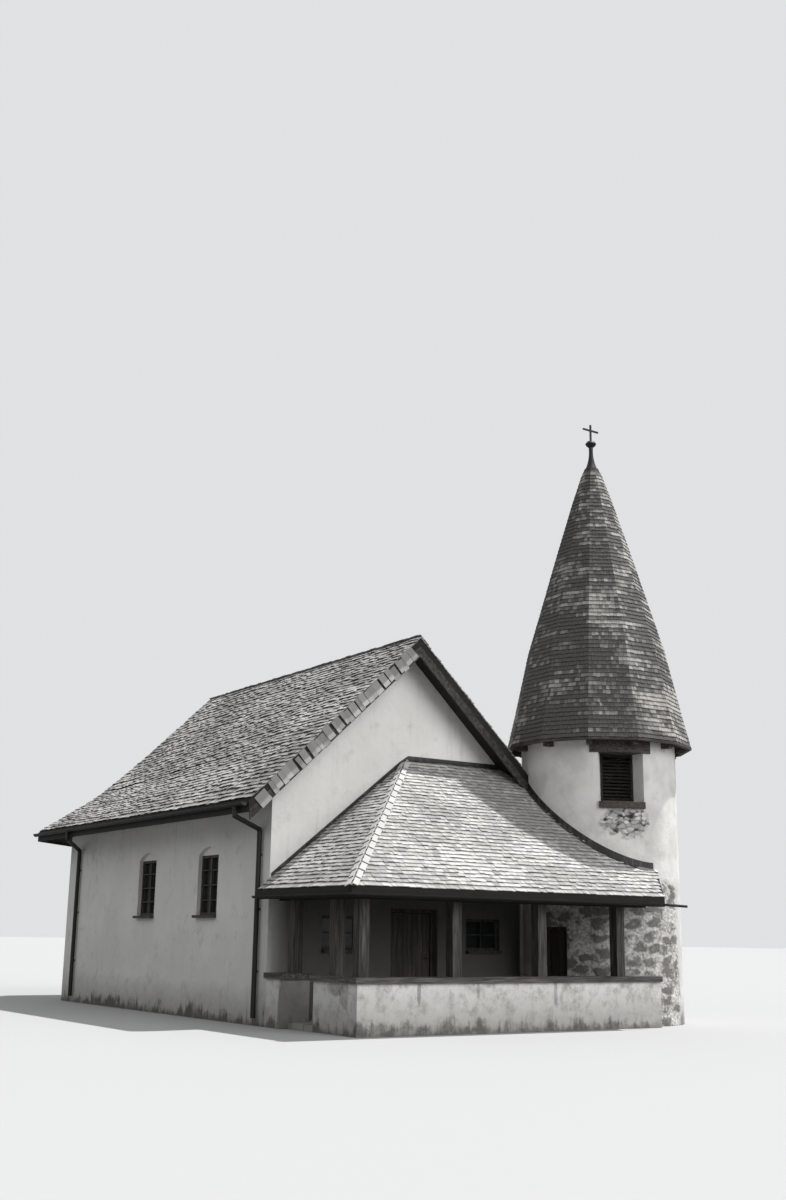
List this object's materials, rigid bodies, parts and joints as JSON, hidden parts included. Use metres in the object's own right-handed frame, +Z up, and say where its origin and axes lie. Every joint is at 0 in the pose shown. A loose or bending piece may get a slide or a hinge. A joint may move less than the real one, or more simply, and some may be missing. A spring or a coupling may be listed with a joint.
{
  "type": "small chapel",
  "caption": "Plastered chapel with a shingled nave, an open lean-to porch on timber posts, a round bell tower under a tall shingled spire, and hinged doors.",
  "frame": {"origin": "on the ground under the middle of the nave's straight walls", "axes": "+X across the nave towards the tower, +Y along the nave towards the apse, +Z up"},
  "size_m": [11.2163, 17.9601, 14.331],
  "materials": {
    "plaster": "weathered lime plaster on rubble masonry",
    "paving_stone": "worn stone slabs",
    "grey_shingle": "silvered wooden shingles",
    "brown_shingle": "dark weathered wooden shingles",
    "dark_timber": "dark stained timber",
    "door_timber": "dark planks",
    "iron": "blackened metal",
    "window_pane": "dark window glass"
  },
  "bodies": {
    "chapel": {"apse_roof": "grey_shingle", "apse_wall": "plaster", "belfry_lintel": "dark_timber", "belfry_louvres": "dark_timber", "belfry_sill": "dark_timber", "coping_front": "dark_timber", "coping_side": "dark_timber", "cross": "iron", "door_frames": "dark_timber", "door_pintles": "iron", "door_step": "paving_stone", "eave_boards": "dark_timber", "finial": "iron", "front_gable": "plaster", "front_wall_left": "plaster", "front_wall_right": "plaster", "left_wall": "plaster", "nave_downpipes": "iron", "nave_floor": "paving_stone", "nave_gutters": "iron", "nave_roof_left": "grey_shingle", "nave_roof_right": "grey_shingle", "porch_beam_front": "dark_timber", "porch_beam_side": "dark_timber", "porch_floor": "paving_stone", "porch_front_wall": "plaster", "porch_gutter": "iron", "porch_hip_rafter": "dark_timber", "porch_posts": "dark_timber", "porch_rafters": "dark_timber", "porch_roof_front": "grey_shingle", "porch_roof_side": "grey_shingle", "porch_side_wall": "plaster", "right_wall": "plaster", "tower_eave_blocks": "dark_timber", "tower_eave_ring": "dark_timber", "tower_floor": "paving_stone", "tower_roof_lower": "brown_shingle", "tower_roof_upper": "brown_shingle", "tower_wall_back": "plaster", "tower_wall_front": "plaster", "tower_wall_outer": "plaster", "tower_wall_porch": "plaster", "verge_board_left": "dark_timber", "verge_board_right": "dark_timber", "window_frames": "dark_timber", "window_glass": "window_pane", "window_sills": "dark_timber"},
    "door": {"door_leaf": "door_timber", "door_ironwork": "iron"},
    "tower_door": {"tower_door_leaf": "door_timber", "tower_door_ironwork": "iron"}
  },
  "joints": [
    {"name": "door_hinge", "type": "hinge", "parent": "chapel", "child": "door", "pos_m": [-0.21, -5.47, 1.34], "axis": [0, 0, 1], "range_deg": [0, 90]},
    {"name": "tower_door_hinge", "type": "hinge", "parent": "chapel", "child": "tower_door", "pos_m": [3.28622, -6.85921, 1.085], "axis": [0, 0, 1], "range_deg": [0, 90]}
  ]
}
